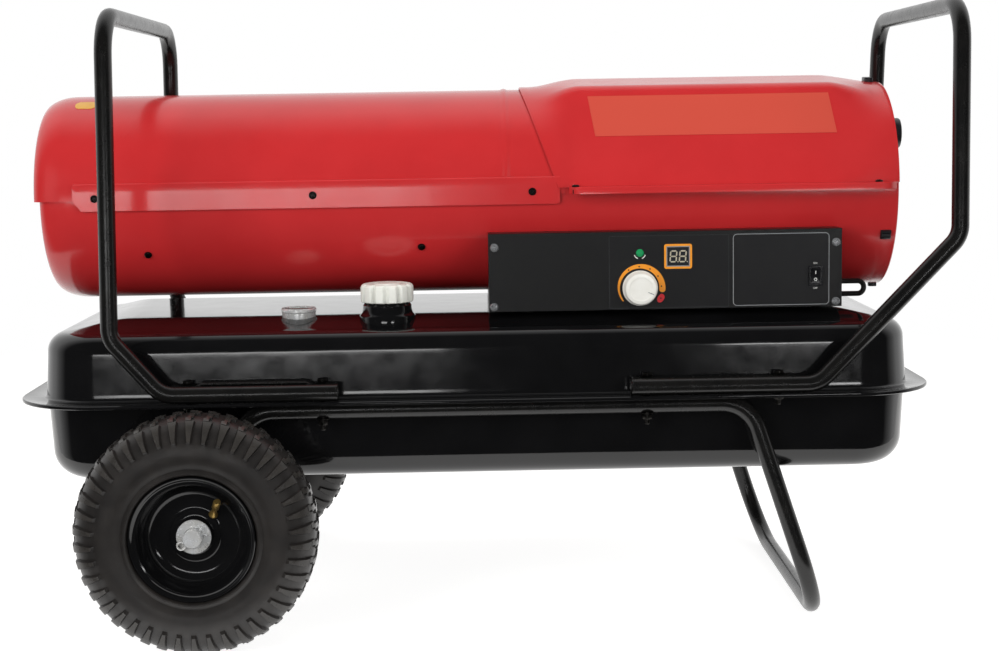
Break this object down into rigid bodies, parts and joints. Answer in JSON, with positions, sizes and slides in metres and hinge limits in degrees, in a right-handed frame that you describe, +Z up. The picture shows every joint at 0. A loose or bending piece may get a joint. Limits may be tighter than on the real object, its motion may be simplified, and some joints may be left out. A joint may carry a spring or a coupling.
{
  "type": "forced air heater",
  "caption": "Wheeled kerosene forced air heater: red ducted barrel with burner and fan on a black fuel tank, push handles, control panel and two pneumatic wheels.",
  "frame": {"origin": "centre of the bounding box at floor level", "axes": "+X towards the air intake and rear handle, -X the hot air outlet over the wheels, -Y the control panel side, +Z up"},
  "size_m": [1.045, 0.591, 0.688],
  "materials": {
    "red_paint": "gloss",
    "black_paint": "gloss",
    "black_plastic": "satin",
    "white_plastic": "satin",
    "tyre_rubber": "matte",
    "zinc": "satin",
    "stainless": "satin",
    "aluminium": "satin",
    "brass": "satin",
    "lens": "gloss",
    "green_lens": "gloss",
    "board_green": "satin",
    "nylon": "satin",
    "ceramic": "gloss"
  },
  "bodies": {
    "heater_body": {"near_wheel_washer": "zinc", "near_cotter_pin": "zinc", "far_wheel_washer": "zinc", "far_cotter_pin": "zinc", "axle": "zinc", "base_frame": "black_paint", "front_handle": "black_paint", "rear_handle": "black_paint", "near_front_outer_bolt": "zinc", "near_front_inner_bolt": "zinc", "near_rear_inner_bolt": "zinc", "near_rear_outer_bolt": "zinc", "far_front_outer_bolt": "zinc", "far_front_inner_bolt": "zinc", "far_rear_inner_bolt": "zinc", "far_rear_outer_bolt": "zinc", "tank_upper": "black_paint", "tank_lower": "black_paint", "drain_plug": "zinc", "filler_neck": "black_paint", "fuel_strainer": "nylon", "fuel_gauge_body": "zinc", "fuel_gauge_lens": "lens", "lower_shell": "red_paint", "front_hood": "red_paint", "rear_hood": "red_paint", "combustion_chamber": "stainless", "flame_disc": "stainless", "burner_head": "stainless", "fuel_nozzle": "brass", "ignition_electrode": "ceramic", "fan_motor": "black_paint", "motor_bracket": "zinc", "air_pump_housing": "aluminium", "rear_guard": "black_paint", "pressure_gauge": "black_plastic", "control_box": "black_paint", "control_cover": "black_paint", "indicator_lamp": "green_lens", "display_window": "lens", "switch_body": "black_plastic", "circuit_board": "board_green", "ignition_transformer": "black_plastic", "front_support_rail": "black_paint", "rear_support_rail": "black_paint", "fuel_hose": "black_plastic"},
    "near_wheel": {"near_tyre": "tyre_rubber", "near_rim": "black_paint", "near_hub_bush": "nylon", "near_tyre_valve": "brass"},
    "far_wheel": {"far_tyre": "tyre_rubber", "far_rim": "black_paint", "far_hub_bush": "nylon", "far_tyre_valve": "brass"},
    "fan_rotor": {"fan_blade": "aluminium", "motor_shaft": "zinc"},
    "cap": {"fuel_cap": "white_plastic"},
    "float": {"fuel_float_arm": "brass"},
    "knob": {"thermostat_knob": "white_plastic"},
    "rocker": {"switch_rocker": "black_plastic"}
  },
  "joints": [
    {"name": "near_wheel_spin", "type": "hinge", "parent": "heater_body", "child": "near_wheel", "pos_m": [-0.3145, -0.253, 0.13], "axis": [0, 1, 0], "continuous": true},
    {"name": "far_wheel_spin", "type": "hinge", "parent": "heater_body", "child": "far_wheel", "pos_m": [-0.3145, 0.253, 0.13], "axis": [0, 1, 0], "continuous": true},
    {"name": "fan_spin", "type": "hinge", "parent": "heater_body", "child": "fan_rotor", "pos_m": [0.19, 0, 0.4775], "axis": [1, 0, 0], "continuous": true},
    {"name": "cap_lift", "type": "slide", "parent": "heater_body", "child": "cap", "axis": [0, 0, 1], "range_m": [0, 0.025]},
    {"name": "fuel_level", "type": "hinge", "parent": "heater_body", "child": "float", "pos_m": [-0.213, -0.112, 0.2943], "axis": [0, 1, 0], "range_deg": [0, 40]},
    {"name": "thermostat_turn", "type": "hinge", "parent": "heater_body", "child": "knob", "pos_m": [0.1712, -0.1409, 0.3723], "axis": [0, -1, 0], "range_deg": [0, 240]},
    {"name": "power_rocker", "type": "hinge", "parent": "heater_body", "child": "rocker", "pos_m": [0.3674, -0.1402, 0.3828], "axis": [-1, 0, 0], "range_deg": [0, 8]}
  ]
}
